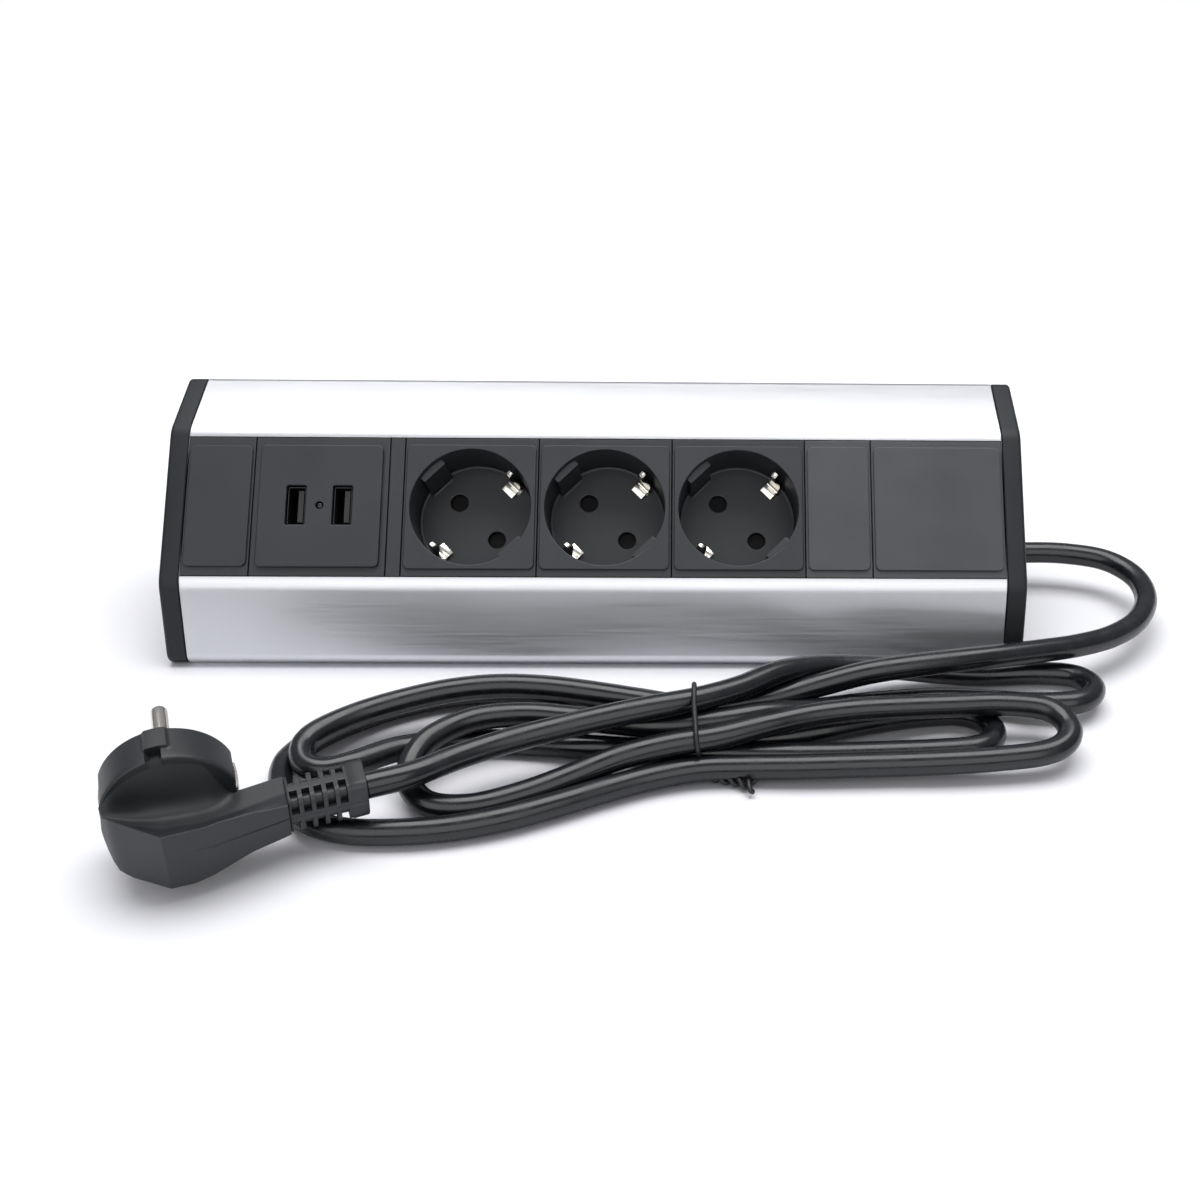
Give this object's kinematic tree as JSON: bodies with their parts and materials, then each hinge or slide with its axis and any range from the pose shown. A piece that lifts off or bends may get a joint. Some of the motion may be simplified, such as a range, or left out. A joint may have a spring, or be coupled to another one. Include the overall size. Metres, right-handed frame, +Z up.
{
  "type": "desk power strip",
  "caption": "Desk-edge mains strip: angled aluminium corner profile with round earthed sockets, USB charger and blank modules, tied cord and angled plug.",
  "frame": {"origin": "middle of the strip's footprint, on the surface it rests on, the lead left out", "axes": "+X along the strip from the label end to the cord end, +Y to its flat back, +Z up"},
  "size_m": [0.3418, 0.1872, 0.0736],
  "materials": {
    "anodised_aluminium": "silver anodised, fine satin",
    "black_abs": "fine spark texture",
    "zinc_plated_steel": "zinc plated",
    "black_tpe": "matt",
    "black_nylon": "matt",
    "black_polycarbonate": "fine spark texture",
    "nickel_plated_brass": "nickel plated",
    "black_lcp": "matt",
    "smoked_lens": "gloss",
    "green_fr4": "solder resist",
    "ferrite_core": "matt sintered",
    "capacitor_can": "sleeved can",
    "dark_acetal": "smooth",
    "spring_steel": "drawn wire",
    "brass": "stamped",
    "brown_pvc": "satin",
    "blue_pvc": "satin",
    "green_yellow_pvc": "satin",
    "black_pvc_sheath": "satin",
    "tie_pvc": "satin",
    "black_pvc_moulding": "matt moulded"
  },
  "bodies": {
    "strip": {"profile_shell": "anodised_aluminium", "end_cap_left": "black_abs", "end_cap_right": "black_abs", "cap_screw_left_1": "zinc_plated_steel", "cap_screw_left_2": "zinc_plated_steel", "cap_screw_right_1": "zinc_plated_steel", "cap_screw_right_2": "zinc_plated_steel", "clamp_screw_1": "zinc_plated_steel", "clamp_screw_2": "zinc_plated_steel", "cord_gland": "black_tpe", "cord_clamp": "black_nylon", "usb_housing": "black_nylon", "socket_base_1": "black_nylon", "socket_base_2": "black_nylon", "socket_base_3": "black_nylon", "label_blank": "black_polycarbonate", "usb_frame": "black_polycarbonate", "usb_face": "black_polycarbonate", "filler_strip": "black_polycarbonate", "socket_face_1": "black_polycarbonate", "socket_face_2": "black_polycarbonate", "socket_face_3": "black_polycarbonate", "blank_half": "black_polycarbonate", "blank_full": "black_polycarbonate", "usb_shell_1": "nickel_plated_brass", "usb_shell_2": "nickel_plated_brass", "earth_clip_1": "nickel_plated_brass", "earth_clip_2": "nickel_plated_brass", "earth_clip_3": "nickel_plated_brass", "plug_pin_1": "nickel_plated_brass", "plug_pin_2": "nickel_plated_brass", "plug_earth_strip_1": "nickel_plated_brass", "plug_earth_strip_2": "nickel_plated_brass", "usb_tongue_1": "black_lcp", "usb_tongue_2": "black_lcp", "usb_led_lens": "smoked_lens", "usb_board": "green_fr4", "usb_transformer": "ferrite_core", "usb_capacitor": "capacitor_can", "shutter_spring_1": "spring_steel", "shutter_spring_2": "spring_steel", "shutter_spring_3": "spring_steel", "live_busbar": "brass", "neutral_busbar": "brass", "earth_busbar": "brass", "wire_live": "brown_pvc", "wire_neutral": "blue_pvc", "wire_earth": "green_yellow_pvc", "cord_tail": "black_pvc_sheath", "cord_lead": "black_pvc_sheath", "cord_hank": "black_pvc_sheath", "cord_plug_end": "black_pvc_sheath", "cord_tie": "tie_pvc", "plug_body": "black_pvc_moulding", "plug_boot": "black_pvc_moulding"},
    "shutter_1": {"shutter_1": "dark_acetal"},
    "shutter_2": {"shutter_2": "dark_acetal"},
    "shutter_3": {"shutter_3": "dark_acetal"}
  },
  "joints": [
    {"name": "shutter_1_turn", "type": "hinge", "parent": "strip", "child": "shutter_1", "pos_m": [-0.0425, 0.0032, 0.03346], "axis": [0, -0.7071, 0.7071], "range_deg": [0, 48], "stiffness_Nm_per_rad": 0.004, "springref_deg": -20.05},
    {"name": "shutter_2_turn", "type": "hinge", "parent": "strip", "child": "shutter_2", "pos_m": [0.0025, 0.0032, 0.03346], "axis": [0, -0.7071, 0.7071], "range_deg": [0, 48], "stiffness_Nm_per_rad": 0.004, "springref_deg": -20.05},
    {"name": "shutter_3_turn", "type": "hinge", "parent": "strip", "child": "shutter_3", "pos_m": [0.0475, 0.0032, 0.03346], "axis": [0, -0.7071, 0.7071], "range_deg": [0, 48], "stiffness_Nm_per_rad": 0.004, "springref_deg": -20.05}
  ]
}
